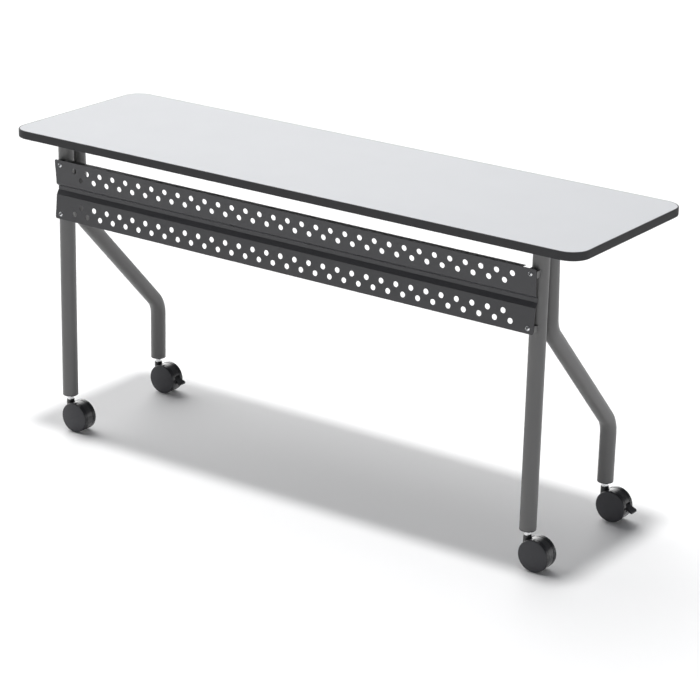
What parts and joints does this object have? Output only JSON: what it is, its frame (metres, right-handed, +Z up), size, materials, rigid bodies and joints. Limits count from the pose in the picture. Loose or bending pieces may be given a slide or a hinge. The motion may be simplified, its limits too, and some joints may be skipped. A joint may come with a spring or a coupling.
{
  "type": "mobile training table",
  "caption": "Narrow training table with a light laminate top, cranked tube legs, a perforated modesty panel and swivelling twin-wheel casters, the rear ones with a brake pedal.",
  "frame": {"origin": "on the floor under the middle of the top", "axes": "+X along the length, +Z up, -Y towards the side that carries the modesty panel"},
  "size_m": [1.524, 0.4572, 0.737],
  "materials": {
    "board": "matte",
    "laminate": "satin",
    "backer": "matte",
    "edging": "satin",
    "panel_paint": "satin",
    "frame_paint": "satin",
    "bright_steel": "polished",
    "black_plastic": "satin",
    "hood_plastic": "gloss",
    "wheel_plastic": "satin"
  },
  "bodies": {
    "table": {"top_core": "board", "top_laminate": "laminate", "top_backer": "backer", "edge_band": "edging", "modesty_panel": "panel_paint", "plate_screws": "bright_steel", "panel_screws": "bright_steel", "left_mounting_plate": "frame_paint", "left_front_tube": "frame_paint", "left_rear_tube": "frame_paint", "left_upper_tab": "frame_paint", "left_lower_tab": "frame_paint", "left_front_socket": "black_plastic", "left_front_stem": "bright_steel", "left_front_stem_ring": "bright_steel", "left_rear_socket": "black_plastic", "left_rear_stem": "bright_steel", "left_rear_stem_ring": "bright_steel", "right_mounting_plate": "frame_paint", "right_front_tube": "frame_paint", "right_rear_tube": "frame_paint", "right_upper_tab": "frame_paint", "right_lower_tab": "frame_paint", "right_front_socket": "black_plastic", "right_front_stem": "bright_steel", "right_front_stem_ring": "bright_steel", "right_rear_socket": "black_plastic", "right_rear_stem": "bright_steel", "right_rear_stem_ring": "bright_steel"},
    "left_front_caster": {"left_front_hood": "hood_plastic", "left_front_axle": "bright_steel"},
    "left_front_roller_fore": {"left_front_wheel_fore": "wheel_plastic"},
    "left_front_roller_aft": {"left_front_wheel_aft": "wheel_plastic"},
    "left_rear_caster": {"left_rear_hood": "hood_plastic", "left_rear_axle": "bright_steel", "left_rear_pedal_pin": "bright_steel"},
    "left_rear_roller_fore": {"left_rear_wheel_fore": "wheel_plastic"},
    "left_rear_roller_aft": {"left_rear_wheel_aft": "wheel_plastic"},
    "left_rear_brake": {"left_rear_pedal": "hood_plastic"},
    "right_front_caster": {"right_front_hood": "hood_plastic", "right_front_axle": "bright_steel"},
    "right_front_roller_fore": {"right_front_wheel_fore": "wheel_plastic"},
    "right_front_roller_aft": {"right_front_wheel_aft": "wheel_plastic"},
    "right_rear_caster": {"right_rear_hood": "hood_plastic", "right_rear_axle": "bright_steel", "right_rear_pedal_pin": "bright_steel"},
    "right_rear_roller_fore": {"right_rear_wheel_fore": "wheel_plastic"},
    "right_rear_roller_aft": {"right_rear_wheel_aft": "wheel_plastic"},
    "right_rear_brake": {"right_rear_pedal": "hood_plastic"}
  },
  "joints": [
    {"name": "left_front_swivel", "type": "hinge", "parent": "table", "child": "left_front_caster", "pos_m": [-0.643, -0.17, 0], "axis": [0, 0, 1], "continuous": true},
    {"name": "left_front_roll_fore", "type": "hinge", "parent": "left_front_caster", "child": "left_front_roller_fore", "pos_m": [-0.617, -0.17, 0.0365], "axis": [0, 1, 0], "continuous": true},
    {"name": "left_front_roll_aft", "type": "hinge", "parent": "left_front_caster", "child": "left_front_roller_aft", "pos_m": [-0.617, -0.17, 0.0365], "axis": [0, 1, 0], "continuous": true},
    {"name": "left_rear_swivel", "type": "hinge", "parent": "table", "child": "left_rear_caster", "pos_m": [-0.643, 0.1625, 0], "axis": [0, 0, 1], "continuous": true},
    {"name": "left_rear_roll_fore", "type": "hinge", "parent": "left_rear_caster", "child": "left_rear_roller_fore", "pos_m": [-0.617, 0.1625, 0.0365], "axis": [0, 1, 0], "continuous": true},
    {"name": "left_rear_roll_aft", "type": "hinge", "parent": "left_rear_caster", "child": "left_rear_roller_aft", "pos_m": [-0.617, 0.1625, 0.0365], "axis": [0, 1, 0], "continuous": true},
    {"name": "left_rear_brake_tip", "type": "hinge", "parent": "left_rear_caster", "child": "left_rear_brake", "pos_m": [-0.593, 0.1625, 0.042], "axis": [0, 1, 0], "range_deg": [0, 13]},
    {"name": "right_front_swivel", "type": "hinge", "parent": "table", "child": "right_front_caster", "pos_m": [0.643, -0.17, 0], "axis": [0, 0, 1], "continuous": true},
    {"name": "right_front_roll_fore", "type": "hinge", "parent": "right_front_caster", "child": "right_front_roller_fore", "pos_m": [0.669, -0.17, 0.0365], "axis": [0, 1, 0], "continuous": true},
    {"name": "right_front_roll_aft", "type": "hinge", "parent": "right_front_caster", "child": "right_front_roller_aft", "pos_m": [0.669, -0.17, 0.0365], "axis": [0, 1, 0], "continuous": true},
    {"name": "right_rear_swivel", "type": "hinge", "parent": "table", "child": "right_rear_caster", "pos_m": [0.643, 0.1625, 0], "axis": [0, 0, 1], "continuous": true},
    {"name": "right_rear_roll_fore", "type": "hinge", "parent": "right_rear_caster", "child": "right_rear_roller_fore", "pos_m": [0.669, 0.1625, 0.0365], "axis": [0, 1, 0], "continuous": true},
    {"name": "right_rear_roll_aft", "type": "hinge", "parent": "right_rear_caster", "child": "right_rear_roller_aft", "pos_m": [0.669, 0.1625, 0.0365], "axis": [0, 1, 0], "continuous": true},
    {"name": "right_rear_brake_tip", "type": "hinge", "parent": "right_rear_caster", "child": "right_rear_brake", "pos_m": [0.693, 0.1625, 0.042], "axis": [0, 1, 0], "range_deg": [0, 13]}
  ]
}
